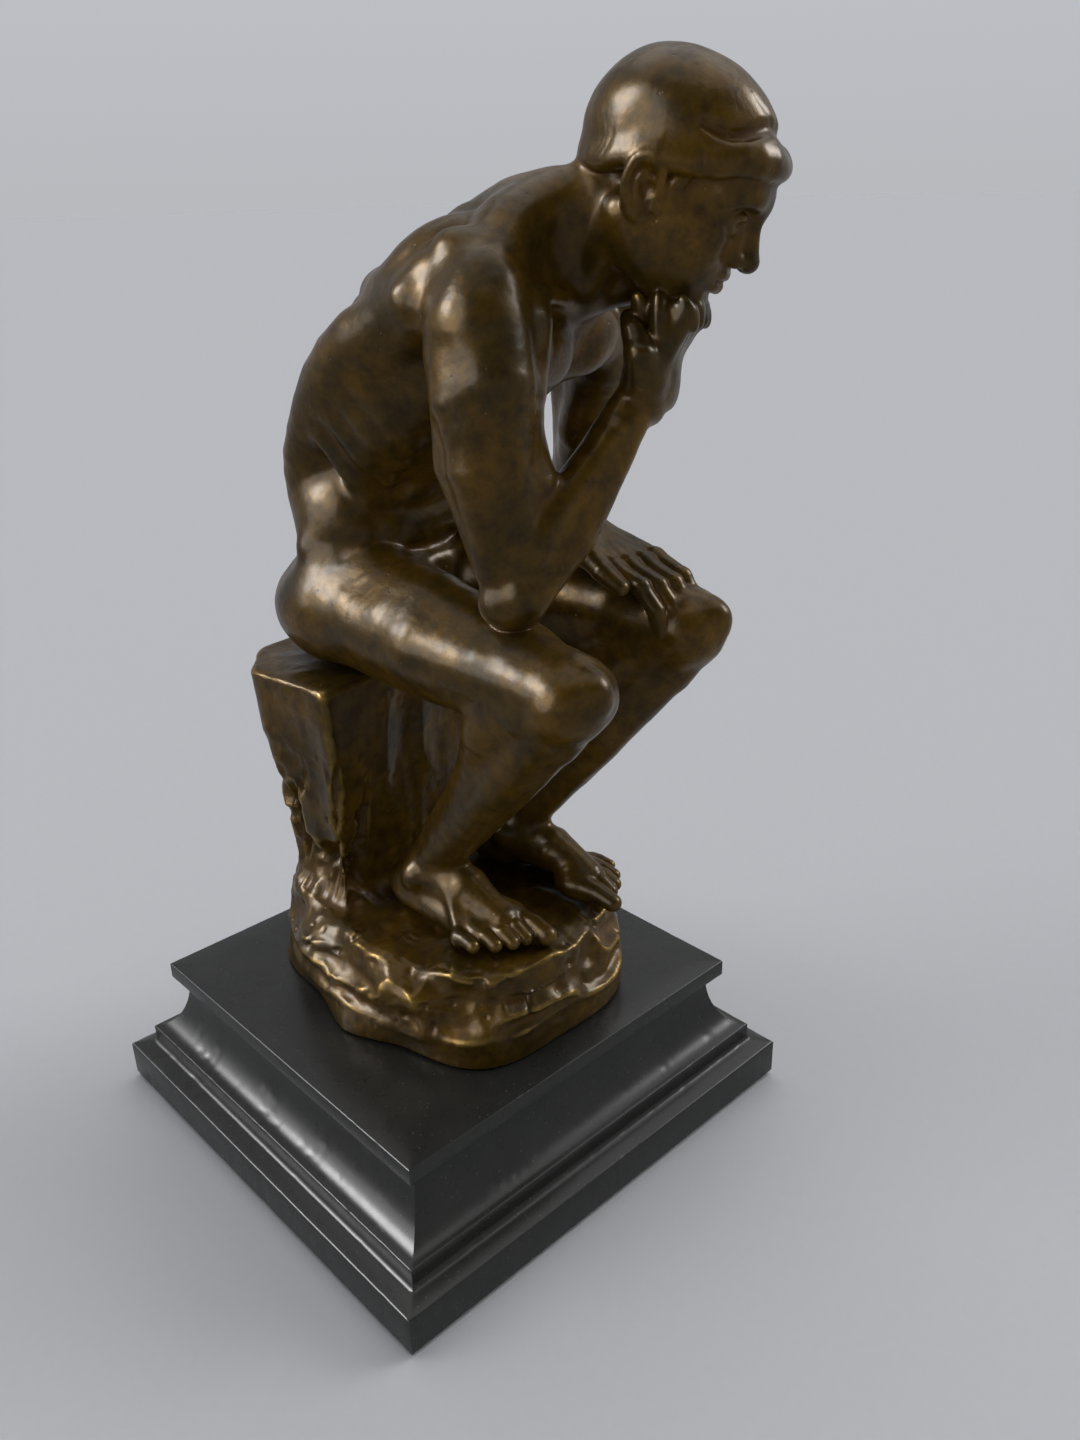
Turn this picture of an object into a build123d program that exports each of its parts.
# A seated, pensive bronze figure on a rough-hewn rock, bolted to a moulded black stone base.
# Millimetres. Origin at the centre of the base's underside, +Z up. The base is square to X and Y.
# The figure is modelled facing -Y, its own left towards +X, and is then turned by FACING on the base.
import math
import os

from build123d import *

os.makedirs("parts", exist_ok=True)

# Stone base
PLINTH_SIDE = 140.0
PLINTH_EDGE = 11.0
LEDGE_RISE = 1.0
FILLET_RADIUS = 1.8
STEP_SIDE = 128.4
STEP_EDGE = 4.0
NECK_SIDE = 109.6
COVE_HEIGHT = 18.0
SLAB_SIDE = 116.6
SLAB_THICKNESS = 5.0
FELT_THICKNESS = 1.2
FELT_INSET = 1.5

# Fixing studs, washers and nuts
STUD_DIAMETER = 6.0
STUD_CLEARANCE = 1.0
STUD_ENGAGEMENT = 14.0
STUD_TAIL = 1.0
WASHER_DIAMETER = 12.5
WASHER_THICKNESS = 1.6
WASHER_CLEARANCE = 0.4
NUT_ACROSS_FLATS = 10.0
NUT_HEIGHT = 5.0
RECESS_DIAMETER = 17.0
RECESS_DEPTH = 9.0
BOSS_DIAMETER = 14.0
BOSS_HEIGHT = 16.0
FRONT_STUD = 28.0
REAR_STUD = 42.0

# Rock: a low mound with a hewn seat block, cast hollow
FACING = 8.0
CASTING_WALL = 4.5
MOUND_SHIFT = 2.0
MOUND_HALF_WIDTH = 43.0
MOUND_HALF_LENGTH = 53.0
MOUND_HEIGHT = 26.0
MOUND_RIM = 12.0
MOUND_SHOULDER = 6.0
MOUND_SQUARENESS = 2.6
MOUND_FACETS = 14
MOUND_RELIEF = 2.0
MOUND_REAR_NARROWING = 0.16
SEAT_HEIGHT = 94.0
SEAT_SHIFT = 9.0
SEAT_FRONT = 9.0
SEAT_BACK = 51.0
SEAT_HALF_WIDTH = 37.0
SEAT_CORNER = 13.0
SEAT_TAPER = 7.0

# Figure: bone lengths and girths of a man 330 mm tall when standing
FIGURE_SHIFT = 12.0
HIP_HALF = 17.0
HIP_SETBACK = 22.0
HIP_RISE = 17.0
THIGH_LENGTH = 80.0
SHIN_LENGTH = 84.0
THIGH_RADIUS = 18.0
KNEE_RADIUS = 11.8
CALF_RADIUS = 12.4
ANKLE_RADIUS = 6.4
ANKLE_HEIGHT = 13.0
FOOT_LENGTH = 50.0
FOOT_WIDTH = 19.0
FOOT_SHIFT = 8.0
FOOT_HALF_GAP = 15.0
RIGHT_ANKLE_FORWARD = 4.0
LEFT_ANKLE_FORWARD = 9.0
KNEE_SPLAY = 0.10
WAIST_LENGTH = 25.0
RIB_LENGTH = 36.0
CHEST_LENGTH = 35.0
NECK_ROOT_LENGTH = 13.0
NECK_LENGTH = 10.0
SKULL_RISE = 19.0
WAIST_LEAN = -4.0
RIB_LEAN = 30.0
CHEST_LEAN = 53.0
NECK_ROOT_LEAN = 64.0
NECK_LEAN = 70.0
SKULL_LEAN = 52.0
RIB_TURN = 8.0
CHEST_TURN = 14.0
HEAD_TURN = 20.0
HIP_WIDTH = 62.0
HIP_DEPTH = 43.5
WAIST_WIDTH = 51.0
WAIST_DEPTH = 40.0
RIB_WIDTH = 60.0
RIB_DEPTH = 46.0
CHEST_WIDTH = 72.0
CHEST_DEPTH = 46.0
LAT_RADIUS = 8.0
NECK_RADIUS = 11.5
NECK_ROOT_WIDTH = 30.0
SHOULDER_HALF = 37.0
SHOULDER_FORWARD = 10.0
SHOULDER_RADIUS = 14.0
UPPER_ARM_RADIUS = 11.8
ELBOW_RADIUS = 7.8
FOREARM_RADIUS = 9.6
WRIST_RADIUS = 5.6
LEFT_UPPER_ARM = 62.0
LEFT_FOREARM = 49.0
ELBOW_ON_THIGH = 0.8
HAND_ON_THIGH = 0.72
PALM_LENGTH = 19.0
PALM_WIDTH = 19.0
PALM_THICKNESS = 8.6
FINGER_RADIUS = 2.3
FINGER_LENGTH = 24.0
FINGER_PITCH = 5.0
HEAD_HEIGHT = 47.0
HEAD_WIDTH = 34.0
HEAD_DEPTH = 42.0
HEAD_PITCH = 28.0
CHIN_SHIFT = 0.26
CHIN_DROP = 0.48
HAIR_THICKNESS = 1.8
TORSO_WALL = 5.0
SPIGOT_RADIUS = 5.0
SPIGOT_REACH = 0.5
SPIGOT_CLEARANCE = 0.2
CONTACT_SINK = 2.5

# Levels of the stack, from the table up
PLINTH_BOTTOM = FELT_THICKNESS
PLINTH_ARRIS = PLINTH_BOTTOM + PLINTH_EDGE
STEP_BOTTOM = PLINTH_ARRIS + LEDGE_RISE
STEP_TOP = STEP_BOTTOM + FILLET_RADIUS + STEP_EDGE
SLAB_BOTTOM = STEP_TOP + COVE_HEIGHT
SLAB_TOP = SLAB_BOTTOM + SLAB_THICKNESS
MOUND_TOP = SLAB_TOP + MOUND_HEIGHT
SEAT_TOP = SLAB_TOP + SEAT_HEIGHT


# Geometry helpers

def unit(vector):
    return vector.normalized()


def leaning(angle, turn=0):
    """Unit vector that leans forward from upright by an angle, towards a way turned to the left."""
    lean = math.radians(angle)
    way = math.radians(turn)
    return Vector(math.sin(way) * math.sin(lean), -math.cos(way) * math.sin(lean), math.cos(lean))


def across(turn):
    """Unit vector to the figure's left, for a part of the body turned to the left by an angle."""
    way = math.radians(turn)
    return Vector(math.cos(way), math.sin(way), 0)


def middle_joint(root, tip, upper, lower, toward):
    """Knee or elbow between two joints, from the two bone lengths and the way it bends."""
    reach = tip - root
    distance = reach.length
    line = unit(reach)
    square = unit(toward - line * toward.dot(line))
    run = (upper**2 - lower**2 + distance**2) / (2 * distance)
    rise = math.sqrt(max(upper**2 - run**2, 0))
    return root + line * run + square * rise


def limb(start, end, front, stations):
    """Loft along a bone. A station is (share of the bone, half width, half depth, shift to the front)."""
    bone = end - start
    axis = unit(bone)
    depth = unit(front - axis * front.dot(axis))
    sections = []
    for share, half_width, half_depth, shift in stations:
        plane = Plane(origin=start + bone * share + depth * shift, x_dir=depth.cross(axis), z_dir=axis)
        sections.append(plane * Ellipse(half_width, half_depth))
    return loft(sections)


def ball(centre, radius):
    return Pos(centre.X, centre.Y, centre.Z) * Sphere(radius)


def spindle(start, end, start_radius, end_radius):
    """One turned piece with round ends: a finger bone, a toe, the bridge of a nose."""
    length = (end - start).length
    low = (start_radius * math.sqrt(0.5), -start_radius * math.sqrt(0.5))
    high = (end_radius * math.sqrt(0.5), length + end_radius * math.sqrt(0.5))
    outline = [
        ThreePointArc((0, -start_radius), low, (start_radius, 0)),
        Line((start_radius, 0), (end_radius, length)),
        ThreePointArc((end_radius, length), high, (0, length + end_radius)),
        Line((0, length + end_radius), (0, -start_radius)),
    ]
    turned = revolve(Plane.XZ * make_face(outline), Axis.Z)
    return Plane(origin=start, z_dir=end - start) * turned


def cushion(centre, facing, radius, half_thickness):
    """A flattened round muscle: an ellipse turned about its short axis."""
    bow = Spline(
        [(0, -half_thickness), (radius, 0), (0, half_thickness)], tangents=[(1, 0), (-1, 0)]
    )
    disc = revolve(Plane.XZ * make_face([bow, Line(bow @ 1, bow @ 0)]), Axis.Z)
    return Plane(origin=centre, z_dir=facing) * disc


def on_base(shape):
    """Turns a piece of the figure to the way it faces on the base."""
    return Rot(0, 0, FACING) * shape


# Stone base: the profile is run along X and along Y, and what both runs share has mitred corners

def square_moulding(outline_edges):
    """Block with the half profile (distance from the middle, height) on all four sides."""
    half = Plane.XZ * make_face(outline_edges)
    both = half + mirror(half, about=Plane.YZ)
    along_y = extrude(both, PLINTH_SIDE, both=True)
    return along_y & (Rot(0, 0, 90) * along_y)


def plinth_outline():
    plinth = PLINTH_SIDE / 2
    step = STEP_SIDE / 2
    neck = NECK_SIDE / 2
    ledge_end = (step + FILLET_RADIUS, STEP_BOTTOM)
    fillet_middle = (
        step + FILLET_RADIUS * (1 - math.sqrt(0.5)),
        STEP_BOTTOM + FILLET_RADIUS * (1 - math.sqrt(0.5)),
    )
    fillet_end = (step, STEP_BOTTOM + FILLET_RADIUS)
    cove_middle = (
        step - (step - neck) * math.sqrt(0.5),
        SLAB_BOTTOM - COVE_HEIGHT * math.sqrt(0.5),
    )
    return [
        Line((0, PLINTH_BOTTOM), (plinth, PLINTH_BOTTOM)),
        Line((plinth, PLINTH_BOTTOM), (plinth, PLINTH_ARRIS)),
        Line((plinth, PLINTH_ARRIS), ledge_end),
        ThreePointArc(ledge_end, fillet_middle, fillet_end),
        Line(fillet_end, (step, STEP_TOP)),
        Spline(
            [(step, STEP_TOP), cove_middle, (neck, SLAB_BOTTOM)], tangents=[(-1, 0), (0, 1)]
        ),
        Line((neck, SLAB_BOTTOM), (0, SLAB_BOTTOM)),
        Line((0, SLAB_BOTTOM), (0, PLINTH_BOTTOM)),
    ]


def upright(point, radius, bottom, top):
    """Round bar or hole on a stud's axis."""
    return Pos(point.X, point.Y, bottom) * Cylinder(
        radius, top - bottom, align=(Align.CENTER, Align.CENTER, Align.MIN)
    )


stud_points = [
    Vector(0, -FRONT_STUD).rotate(Axis.Z, FACING),
    Vector(0, REAR_STUD).rotate(Axis.Z, FACING),
]
RECESS_TOP = PLINTH_BOTTOM + RECESS_DEPTH
NUT_TOP = RECESS_TOP - WASHER_THICKNESS
NUT_BOTTOM = NUT_TOP - NUT_HEIGHT
STUD_TOP = SLAB_TOP + STUD_ENGAGEMENT
stud_radius = STUD_DIAMETER / 2
hole_radius = (STUD_DIAMETER + STUD_CLEARANCE) / 2

plinth_block = square_moulding(plinth_outline())
top_slab = Pos(0, 0, SLAB_BOTTOM) * Box(
    SLAB_SIDE, SLAB_SIDE, SLAB_THICKNESS, align=(Align.CENTER, Align.CENTER, Align.MIN)
)
for point in stud_points:
    plinth_block -= upright(point, hole_radius, PLINTH_BOTTOM, SLAB_BOTTOM)
    plinth_block -= upright(point, RECESS_DIAMETER / 2, PLINTH_BOTTOM, RECESS_TOP)
    top_slab -= upright(point, hole_radius, SLAB_BOTTOM, SLAB_TOP)

felt_side = PLINTH_SIDE - 2 * FELT_INSET
felt_pad = Box(felt_side, felt_side, FELT_THICKNESS, align=(Align.CENTER, Align.CENTER, Align.MIN))


# Fixings: two studs screwed up into the rock, each with a washer and a nut in a recess

def washer(point):
    ring = upright(point, WASHER_DIAMETER / 2, NUT_TOP, RECESS_TOP)
    return ring - upright(point, (STUD_DIAMETER + WASHER_CLEARANCE) / 2, NUT_TOP, RECESS_TOP)


def nut(point):
    hexagon = RegularPolygon(NUT_ACROSS_FLATS / 2, 6, major_radius=False)
    body = Pos(point.X, point.Y, NUT_BOTTOM) * extrude(hexagon, NUT_HEIGHT)
    return body - upright(point, stud_radius, NUT_BOTTOM, NUT_TOP)


fixing_studs = [upright(p, stud_radius, NUT_BOTTOM - STUD_TAIL, STUD_TOP) for p in stud_points]
fixing_washers = [washer(p) for p in stud_points]
fixing_nuts = [nut(p) for p in stud_points]


# Rock

def mound_outline(row, level, inset):
    """Hewn outline: points on a squarish egg, pushed in and out by a formula in the point and the row."""
    points = []
    for point in range(MOUND_FACETS):
        angle = 2 * math.pi * point / MOUND_FACETS
        aside = abs(math.cos(angle)) / MOUND_HALF_WIDTH
        onward = abs(math.sin(angle)) / MOUND_HALF_LENGTH
        reach = (aside**MOUND_SQUARENESS + onward**MOUND_SQUARENESS) ** (-1 / MOUND_SQUARENESS)
        reach += MOUND_RELIEF * math.sin(2.9 * point + 1.7 * row) - inset
        narrowing = 1 - MOUND_REAR_NARROWING * max(math.sin(angle), 0)
        points.append((reach * math.cos(angle) * narrowing, reach * math.sin(angle)))
    return Pos(MOUND_SHIFT, 0, level) * make_face(Polyline(*points, close=True))


def mound():
    """Faceted mound: an upright flank that slopes over in two rows to a flat top for the feet."""
    slope = MOUND_TOP - SLAB_TOP - MOUND_RIM
    return loft(
        [
            mound_outline(0, SLAB_TOP, 0.3 * MOUND_SHOULDER),
            mound_outline(1, SLAB_TOP + 0.8 * MOUND_RIM, 0.2 * MOUND_SHOULDER),
            mound_outline(2, SLAB_TOP + MOUND_RIM + 0.5 * slope, 0.6 * MOUND_SHOULDER),
            mound_outline(3, MOUND_TOP, 1.4 * MOUND_SHOULDER),
        ],
        ruled=True,
    )


def mound_hollow():
    """Hollow of the mound: a plain oval that keeps the casting's wall inside the deepest facets."""
    draw_in = CASTING_WALL + MOUND_RELIEF + MOUND_SHOULDER
    length = MOUND_HALF_LENGTH - draw_in
    width = MOUND_HALF_WIDTH * (1 - MOUND_REAR_NARROWING / 2) - draw_in
    ovals = []
    for level, trim in ((SLAB_TOP, 0), (MOUND_TOP - CASTING_WALL, 0.5 * MOUND_SHOULDER)):
        ovals.append(Pos(MOUND_SHIFT, 0, level) * Ellipse(length - trim, width - trim, rotation=90))
    return loft(ovals)


def seat_outline(level, inset):
    """Hewn block from above: a rectangle with its two rear corners knocked off."""
    side = SEAT_HALF_WIDTH - inset
    front = SEAT_FRONT + inset
    back = SEAT_BACK - inset
    corner = SEAT_CORNER
    outline = Polyline(
        (-side, front),
        (side, front),
        (side, back - corner),
        (side - corner, back),
        (-side + corner, back),
        (-side, back - corner),
        close=True,
    )
    return Pos(SEAT_SHIFT, 0, level) * make_face(outline)


def seat_block(inset, top):
    """Block that narrows towards its foot, as in a hewn seat."""
    return loft([seat_outline(SLAB_TOP, inset + SEAT_TAPER), seat_outline(top, inset)], ruled=True)


def boss(y, top):
    return upright(Vector(0, y), BOSS_DIAMETER / 2, SLAB_TOP, top)


rock_outer = mound() + seat_block(0, SEAT_TOP)
rock_hollow = mound_hollow() + seat_block(CASTING_WALL, SEAT_TOP - CASTING_WALL)
rock_bosses = boss(-FRONT_STUD, MOUND_TOP - CASTING_WALL / 2) + boss(REAR_STUD, SLAB_TOP + BOSS_HEIGHT)
rock_casting = rock_outer - rock_hollow + (rock_bosses & rock_outer)
rock_casting = on_base(rock_casting)
for point in stud_points:
    rock_casting -= upright(point, stud_radius, SLAB_TOP, STUD_TOP)


# Skeleton of the figure

right, left = -1, 1
forward = Vector(0, -1, 0)
upward = Vector(0, 0, 1)
sideways = Vector(1, 0, 0)

pelvis = Vector(FIGURE_SHIFT, HIP_SETBACK, SEAT_TOP + HIP_RISE)
waist = pelvis + leaning(WAIST_LEAN) * WAIST_LENGTH
ribs = waist + leaning(RIB_LEAN, RIB_TURN) * RIB_LENGTH
chest = ribs + leaning(CHEST_LEAN, CHEST_TURN) * CHEST_LENGTH
neck_root = chest + leaning(NECK_ROOT_LEAN, CHEST_TURN) * NECK_ROOT_LENGTH
skull_base = neck_root + leaning(NECK_LEAN, HEAD_TURN) * NECK_LENGTH
head_centre = skull_base + leaning(SKULL_LEAN, HEAD_TURN) * SKULL_RISE

chest_side = across(CHEST_TURN)
chest_front = leaning(CHEST_LEAN + 90, CHEST_TURN)
face_side = across(HEAD_TURN)
face_front = leaning(90 + HEAD_PITCH, HEAD_TURN)
face_up = leaning(HEAD_PITCH, HEAD_TURN)

hips = {side: pelvis + sideways * side * HIP_HALF for side in (right, left)}
ankle_places = {right: -RIGHT_ANKLE_FORWARD, left: -LEFT_ANKLE_FORWARD}
ankles = {
    side: Vector(FOOT_SHIFT + side * FOOT_HALF_GAP, ankle_places[side], MOUND_TOP + ANKLE_HEIGHT)
    for side in (right, left)
}
knees = {
    side: middle_joint(
        hips[side], ankles[side], THIGH_LENGTH, SHIN_LENGTH, forward + sideways * side * KNEE_SPLAY
    )
    for side in (right, left)
}
shoulders = {
    side: chest + chest_side * side * SHOULDER_HALF + chest_front * SHOULDER_FORWARD
    for side in (right, left)
}


def above_thigh(side, share, height):
    """Point over a thigh, at a share of the way from hip to knee."""
    thigh_radius = THIGH_RADIUS + (KNEE_RADIUS - THIGH_RADIUS) * share
    return hips[side] + (knees[side] - hips[side]) * share + upward * (thigh_radius + height)


chin = head_centre + face_front * (CHIN_SHIFT * HEAD_DEPTH) - face_up * (CHIN_DROP * HEAD_HEIGHT)
right_elbow = above_thigh(right, ELBOW_ON_THIGH, ELBOW_RADIUS - CONTACT_SINK)
right_knuckles = chin + leaning(90, HEAD_TURN) * 0.2 * FINGER_LENGTH - face_side * 0.1 * PALM_WIDTH
right_knuckles += upward * (CONTACT_SINK / 2 - FINGER_RADIUS)
right_reach = unit(right_knuckles - right_elbow)
right_wrist = right_knuckles - right_reach * PALM_LENGTH
left_palm = above_thigh(left, HAND_ON_THIGH, PALM_THICKNESS / 2 - CONTACT_SINK)
left_hand_way = unit(Vector(-0.15, -1, -0.2))
left_knuckles = left_palm + left_hand_way * PALM_LENGTH / 2
left_wrist = left_palm - left_hand_way * PALM_LENGTH / 2 + upward * CONTACT_SINK
left_elbow = middle_joint(
    shoulders[left], left_wrist, LEFT_UPPER_ARM, LEFT_FOREARM, Vector(0.75, 0.66, 0)
)


# Torso

def torso_section(centre, lean, turn, width, depth):
    plane = Plane(origin=centre, x_dir=across(turn), z_dir=leaning(lean, turn))
    return plane * Ellipse(width / 2, depth / 2)


def trunk_sections(wall, bottom):
    """Slices of the trunk from the seat to the chest, their girths drawn in by a wall."""
    trim = 2 * wall
    sitting = Vector(pelvis.X, pelvis.Y, bottom)
    return [
        torso_section(sitting, 0, 0, HIP_WIDTH * 0.97 - trim, HIP_DEPTH - trim),
        torso_section(pelvis, 0, 0, HIP_WIDTH - trim, HIP_DEPTH - trim),
        torso_section(waist, RIB_LEAN / 4, RIB_TURN / 2, WAIST_WIDTH - trim, WAIST_DEPTH - trim),
        torso_section(ribs, RIB_LEAN, RIB_TURN, RIB_WIDTH - trim, RIB_DEPTH - trim),
        torso_section(chest, CHEST_LEAN, CHEST_TURN, CHEST_WIDTH - trim, CHEST_DEPTH - trim),
    ]


shoulder_line = chest + (neck_root - chest) * 0.5
shoulder_sections = [
    torso_section(shoulder_line, NECK_ROOT_LEAN, CHEST_TURN, CHEST_WIDTH * 0.9, CHEST_DEPTH * 0.74),
    torso_section(neck_root, NECK_LEAN, HEAD_TURN, NECK_ROOT_WIDTH, 2 * NECK_RADIUS),
]
muscles = []
for side in (right, left):
    breast = chest + chest_side * side * CHEST_WIDTH * 0.2 + chest_front * CHEST_DEPTH * 0.37
    blade = chest + chest_side * side * CHEST_WIDTH * 0.24 - chest_front * CHEST_DEPTH * 0.36
    blade -= leaning(CHEST_LEAN, CHEST_TURN) * CHEST_LENGTH * 0.2
    buttock = pelvis + Vector(side * HIP_WIDTH * 0.24, HIP_DEPTH * 0.14, -HIP_DEPTH * 0.1)
    muscles.append(cushion(breast, chest_front, CHEST_WIDTH * 0.22, CHEST_DEPTH * 0.13))
    muscles.append(cushion(blade, chest_front, CHEST_WIDTH * 0.22, CHEST_DEPTH * 0.12))
    muscles.append(ball(buttock, HIP_DEPTH * 0.41))
    flank = waist + across(RIB_TURN / 2) * side * WAIST_WIDTH * 0.34 + upward * WAIST_LENGTH * 0.6
    flank -= leaning(90, RIB_TURN / 2) * WAIST_DEPTH * 0.2
    armpit = chest + chest_side * side * CHEST_WIDTH * 0.44 - chest_front * CHEST_DEPTH * 0.12
    armpit -= leaning(CHEST_LEAN, CHEST_TURN) * CHEST_LENGTH * 0.26
    muscles.append(spindle(flank, armpit, LAT_RADIUS * 0.94, LAT_RADIUS))
torso_outer = loft(trunk_sections(0, SEAT_TOP) + shoulder_sections).fuse(*muscles)
over_seat = Pos(0, 0, SEAT_TOP) * Box(
    4 * HIP_WIDTH, 8 * HIP_WIDTH, 8 * HIP_WIDTH, align=(Align.CENTER, Align.CENTER, Align.MIN)
)
torso_outer &= over_seat


# Legs

def leg(side):
    hip, knee, ankle = hips[side], knees[side], ankles[side]
    shin_front = unit(knee - hip)
    thigh = limb(
        hip,
        knee,
        upward,
        [
            (-0.05, THIGH_RADIUS, THIGH_RADIUS, 0),
            (0.3, THIGH_RADIUS * 0.98, THIGH_RADIUS * 0.98, 1),
            (0.65, THIGH_RADIUS * 0.83, THIGH_RADIUS * 0.83, 0.8),
            (1, KNEE_RADIUS * 0.95, KNEE_RADIUS * 0.95, 0),
        ],
    )
    shin = limb(
        knee,
        ankle,
        shin_front,
        [
            (0, KNEE_RADIUS * 0.93, KNEE_RADIUS * 0.93, 0),
            (0.3, CALF_RADIUS, CALF_RADIUS, -2.5),
            (0.6, CALF_RADIUS * 0.78, CALF_RADIUS * 0.78, -1.5),
            (0.88, ANKLE_RADIUS, ANKLE_RADIUS, 0),
            (1, ANKLE_RADIUS * 1.08, ANKLE_RADIUS * 1.08, 0),
        ],
    )
    heel = Vector(ankle.X, ankle.Y + 0.1 * FOOT_LENGTH, MOUND_TOP + 0.42 * ANKLE_HEIGHT)
    toe_root = Vector(
        ankle.X + side * 0.06 * FOOT_LENGTH, ankle.Y - 0.54 * FOOT_LENGTH, MOUND_TOP + 0.3 * ANKLE_HEIGHT
    )
    foot = limb(
        heel,
        toe_root,
        upward,
        [
            (0, 0.38 * FOOT_WIDTH, 0.36 * FOOT_WIDTH, 0.5),
            (0.35, 0.4 * FOOT_WIDTH, 0.4 * FOOT_WIDTH, 3),
            (0.7, 0.47 * FOOT_WIDTH, 0.32 * FOOT_WIDTH, 1),
            (1, 0.5 * FOOT_WIDTH, 0.24 * FOOT_WIDTH, 0),
        ],
    )
    pieces = [ball(knee, KNEE_RADIUS), shin, ball(ankle, 1.2 * ANKLE_RADIUS), foot]
    pieces.append(ball(heel, 0.4 * FOOT_WIDTH))
    for toe in range(5):
        spread = (toe - 2) * 0.2 * FOOT_WIDTH
        radius = FOOT_WIDTH * (0.15 if toe == 0 else 0.115)
        reach = FOOT_LENGTH * (0.2 - 0.022 * toe)
        root = toe_root + Vector(side * spread, 0, -0.06 * ANKLE_HEIGHT)
        tip = root + Vector(side * 0.2 * spread, -reach, -0.04 * ANKLE_HEIGHT)
        pieces.append(spindle(root, tip, radius * 1.05, radius))
    whole = thigh.fuse(*pieces)
    over_ground = Pos(0, 0, MOUND_TOP) * Box(
        4 * HIP_WIDTH, 8 * HIP_WIDTH, 8 * HIP_WIDTH, align=(Align.CENTER, Align.CENTER, Align.MIN)
    )
    return (whole & over_ground) - seat_block(0, SEAT_TOP)


# Arms

def digit(points, radius):
    """Finger or thumb: one turned bone for each pair of points, thinner towards the tip."""
    bones = []
    for index in range(len(points) - 1):
        thick = radius * (1 - 0.06 * index)
        bones.append(spindle(points[index], points[index + 1], thick, 0.88 * thick))
    return bones


def hand(wrist, knuckles, row, back, curl, thumb):
    """Palm with four fingers and a thumb. curl lists each finger bone's (share of length, direction)."""
    palm = limb(
        wrist,
        knuckles,
        back,
        [
            (-0.1, 1.1 * WRIST_RADIUS, 0.9 * WRIST_RADIUS, 0),
            (0.45, 0.45 * PALM_WIDTH, 0.5 * PALM_THICKNESS, 0),
            (1.05, 0.5 * PALM_WIDTH, 0.42 * PALM_THICKNESS, 0),
        ],
    )
    bones = []
    for finger in range(4):
        points = [knuckles + row * (finger - 1.5) * FINGER_PITCH]
        length = FINGER_LENGTH * (1 - 0.07 * abs(finger - 1.2))
        for share, way in curl:
            points.append(points[-1] + way * share * length)
        bones += digit(points, FINGER_RADIUS)
    return [palm] + bones + digit(thumb, 1.08 * FINGER_RADIUS)


def arm(shoulder, elbow, wrist, hand_pieces, bend):
    upper = limb(
        shoulder,
        elbow,
        bend,
        [
            (-0.05, SHOULDER_RADIUS * 0.92, SHOULDER_RADIUS * 0.92, 0),
            (0.3, UPPER_ARM_RADIUS, UPPER_ARM_RADIUS, 0.6),
            (0.6, UPPER_ARM_RADIUS * 0.9, UPPER_ARM_RADIUS * 0.9, 0.8),
            (1, ELBOW_RADIUS * 0.93, ELBOW_RADIUS * 0.93, 0),
        ],
    )
    lower = limb(
        elbow,
        wrist,
        bend,
        [
            (0, ELBOW_RADIUS * 0.9, ELBOW_RADIUS * 0.9, 0),
            (0.25, FOREARM_RADIUS, FOREARM_RADIUS, 0.5),
            (0.65, FOREARM_RADIUS * 0.78, FOREARM_RADIUS * 0.74, 0),
            (1, WRIST_RADIUS * 1.05, WRIST_RADIUS * 0.85, 0),
        ],
    )
    return upper.fuse(lower, ball(shoulder, SHOULDER_RADIUS), ball(elbow, ELBOW_RADIUS), *hand_pieces)


backward = forward * -1
knuckle_way = leaning(90, HEAD_TURN)
right_hand = hand(
    right_wrist,
    right_knuckles,
    face_side,
    knuckle_way,
    [(0.45, leaning(-86, HEAD_TURN)), (0.3, leaning(-166, HEAD_TURN)), (0.25, leaning(106, HEAD_TURN))],
    [
        right_wrist + right_reach * 2 - face_side * 0.3 * PALM_WIDTH,
        right_wrist + right_reach * 0.5 * PALM_LENGTH - face_side * 0.52 * PALM_WIDTH - knuckle_way * 4,
        right_wrist + right_reach * 0.85 * PALM_LENGTH - face_side * 0.45 * PALM_WIDTH - knuckle_way * 9,
    ],
)
left_hand = hand(
    left_wrist,
    left_knuckles,
    unit(left_hand_way.cross(upward)),
    upward,
    [
        (0.42, unit(Vector(-0.05, -1, -0.35))),
        (0.32, unit(Vector(0, -0.75, -0.9))),
        (0.26, unit(Vector(0, -0.35, -1))),
    ],
    [
        left_wrist + Vector(-0.2 * PALM_WIDTH, -3, -1),
        left_wrist + Vector(-0.62 * PALM_WIDTH, -11, -2),
        left_wrist + Vector(-0.78 * PALM_WIDTH, -19, -5),
    ],
)
right_arm = arm(shoulders[right], right_elbow, right_wrist, right_hand, forward)
left_arm = arm(shoulders[left], left_elbow, left_wrist, left_hand, forward)


# Head: horizontal slices of a plain head, with a cap of hair, a nose and two ears

def head_slice(rise, depth, width, shift):
    """Slice at a share of the head's height from its middle, as shares of its depth and width."""
    centre = head_centre + face_up * rise * HEAD_HEIGHT + face_front * shift * HEAD_DEPTH
    plane = Plane(origin=centre, x_dir=face_front, z_dir=face_up)
    return plane * Ellipse(depth * HEAD_DEPTH / 2, width * HEAD_WIDTH / 2)


def in_head(aside, onward, rise):
    return head_centre + face_side * aside + face_front * onward + face_up * rise


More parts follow.
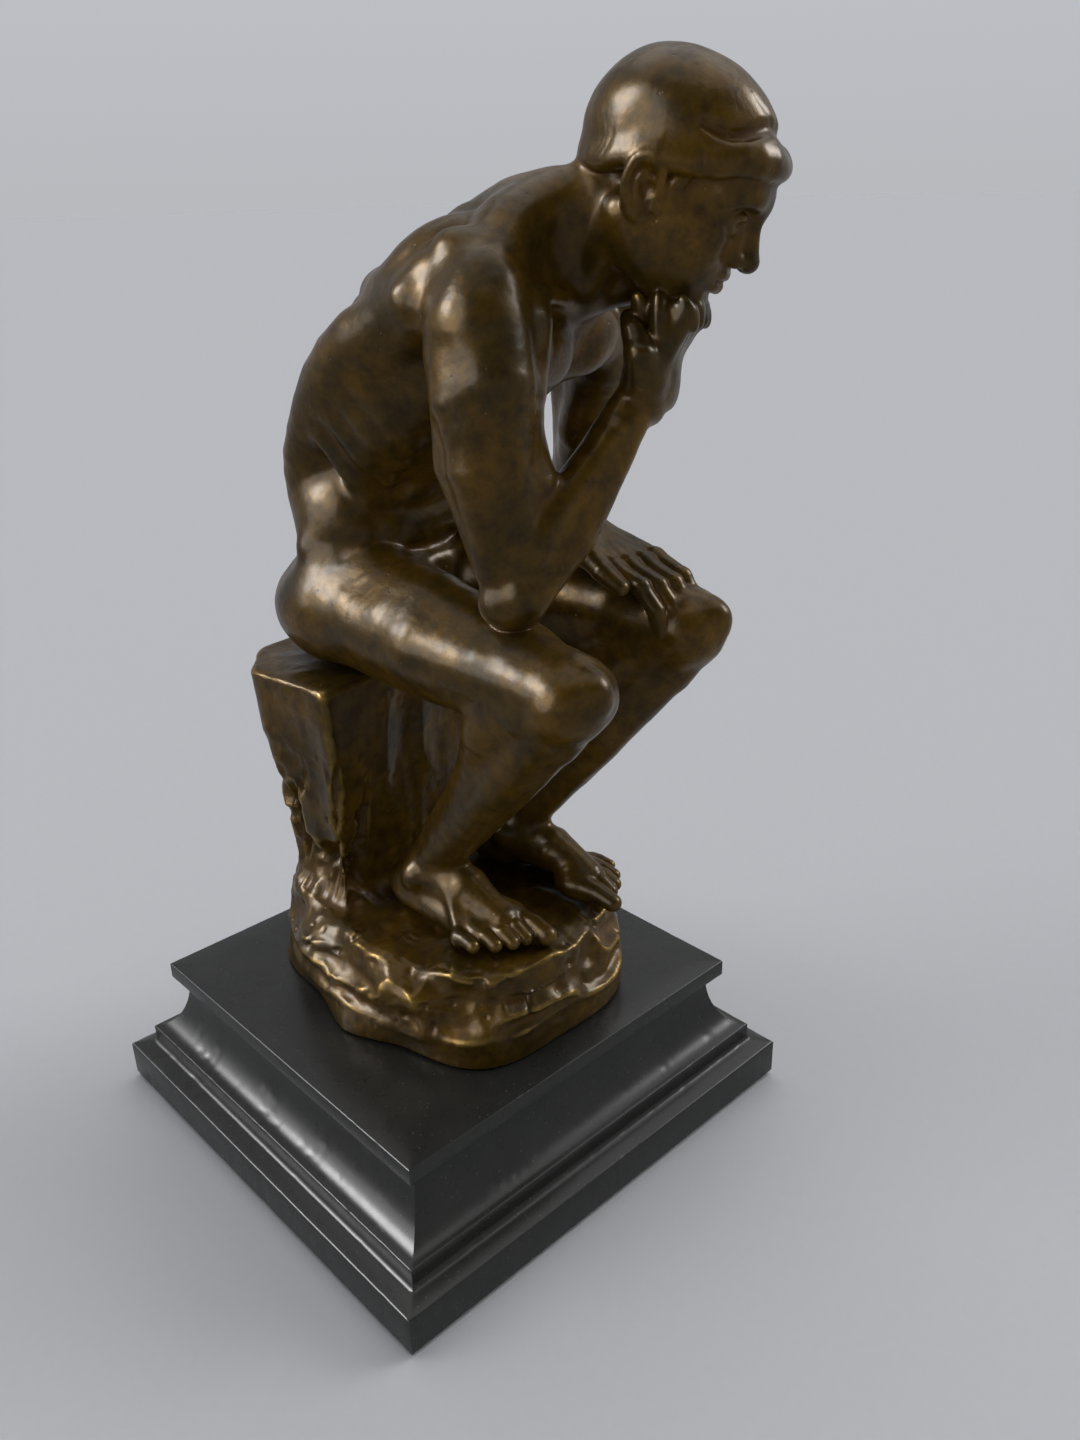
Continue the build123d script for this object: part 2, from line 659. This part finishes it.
skull = loft(
    [
        head_slice(-CHIN_DROP, 0.3, 0.32, CHIN_SHIFT),
        head_slice(-0.36, 0.62, 0.68, 0.11),
        head_slice(-0.2, 0.82, 0.84, 0.05),
        head_slice(-0.04, 0.95, 0.95, 0.01),
        head_slice(0.14, 1.0, 1.0, 0),
        head_slice(0.3, 0.92, 0.95, -0.01),
        head_slice(0.43, 0.66, 0.68, -0.02),
        head_slice(0.5, 0.2, 0.2, -0.02),
    ]
)
neck = loft(
    [
        torso_section(neck_root, NECK_LEAN, HEAD_TURN, NECK_ROOT_WIDTH, 2 * NECK_RADIUS),
        torso_section(skull_base, SKULL_LEAN, HEAD_TURN, 2.1 * NECK_RADIUS, 2 * NECK_RADIUS),
        torso_section(head_centre, SKULL_LEAN, HEAD_TURN, 2 * NECK_RADIUS, 1.9 * NECK_RADIUS),
    ]
)
hair_growth = 2 * HAIR_THICKNESS / HEAD_WIDTH
hair_rise = HAIR_THICKNESS / HEAD_HEIGHT
hair_cut = Plane(
    origin=in_head(0, 0, 0.02 * HEAD_HEIGHT), x_dir=face_side, z_dir=leaning(HEAD_PITCH - 24, HEAD_TURN)
)
hair_cap = loft(
    [
        head_slice(-0.22, 0.84 + hair_growth, 0.86 + hair_growth, 0.04),
        head_slice(-0.04, 0.96 + hair_growth, 0.96 + hair_growth, 0.005),
        head_slice(0.14, 1.0 + hair_growth, 1.0 + hair_growth, 0),
        head_slice(0.3, 0.94 + hair_growth, 0.97 + hair_growth, -0.01),
        head_slice(0.43 + hair_rise, 0.7 + hair_growth, 0.72 + hair_growth, -0.02),
        head_slice(0.5 + hair_rise, 0.24 + hair_growth, 0.24 + hair_growth, -0.02),
    ]
)
hair = split(hair_cap, bisect_by=hair_cut, keep=Keep.TOP)
nose = spindle(
    in_head(0, 0.46 * HEAD_DEPTH, 0.05 * HEAD_HEIGHT),
    in_head(0, 0.53 * HEAD_DEPTH, -0.12 * HEAD_HEIGHT),
    0.07 * HEAD_WIDTH,
    0.1 * HEAD_WIDTH,
)
ears = []
for side in (right, left):
    ear_seat = in_head(side * 0.47 * HEAD_WIDTH, -0.06 * HEAD_DEPTH, -0.04 * HEAD_HEIGHT)
    ears.append(cushion(ear_seat, unit(face_side * side - face_front * 0.4), 0.12 * HEAD_HEIGHT, 0.07 * HEAD_WIDTH))
head_outer = skull.fuse(neck, hair, nose, *ears)


# Foundry sections: each seam follows its neighbour, and a spigot on one section enters a socket in the next

def spigot(start, way, radius, length):
    return Plane(origin=start, z_dir=way) * Cylinder(
        radius, length, align=(Align.CENTER, Align.CENTER, Align.MIN)
    )


legs = {side: leg(side) - torso_outer for side in (right, left)}
arms = {
    right: right_arm - torso_outer - legs[right],
    left: left_arm - torso_outer - legs[left],
}
head_section = head_outer - arms[right]

torso_casting = torso_outer - loft(trunk_sections(TORSO_WALL, SEAT_TOP - TORSO_WALL))


def join(section, start, end):
    """Adds a spigot from inside a section to inside the torso, and bores its socket in the torso."""
    global torso_casting
    length = (end - start).length
    torso_casting -= spigot(start, end - start, SPIGOT_RADIUS + SPIGOT_CLEARANCE, length + SPIGOT_CLEARANCE)
    return section + spigot(start, end - start, SPIGOT_RADIUS, length)


for side in (right, left):
    arms[side] = join(arms[side], shoulders[side], shoulders[side] + (chest - shoulders[side]) * SPIGOT_REACH)
    thigh = knees[side] - hips[side]
    legs[side] = join(legs[side], hips[side] + thigh * SPIGOT_REACH, hips[side] + thigh * 0.1)
head_section = join(head_section, skull_base, skull_base + (chest - skull_base) * SPIGOT_REACH)

parts = {
    "felt_pad": felt_pad,
    "plinth_block": plinth_block,
    "top_slab": top_slab,
    "fixing_studs": Compound(fixing_studs),
    "fixing_washers": Compound(fixing_washers),
    "fixing_nuts": Compound(fixing_nuts),
    "rock_casting": rock_casting,
    "torso_casting": on_base(torso_casting),
    "head_casting": on_base(head_section),
    "right_arm_casting": on_base(arms[right]),
    "left_arm_casting": on_base(arms[left]),
    "right_leg_casting": on_base(legs[right]),
    "left_leg_casting": on_base(legs[left]),
}
for name, shape in parts.items():
    export_step(shape, f"parts/{name}.step")
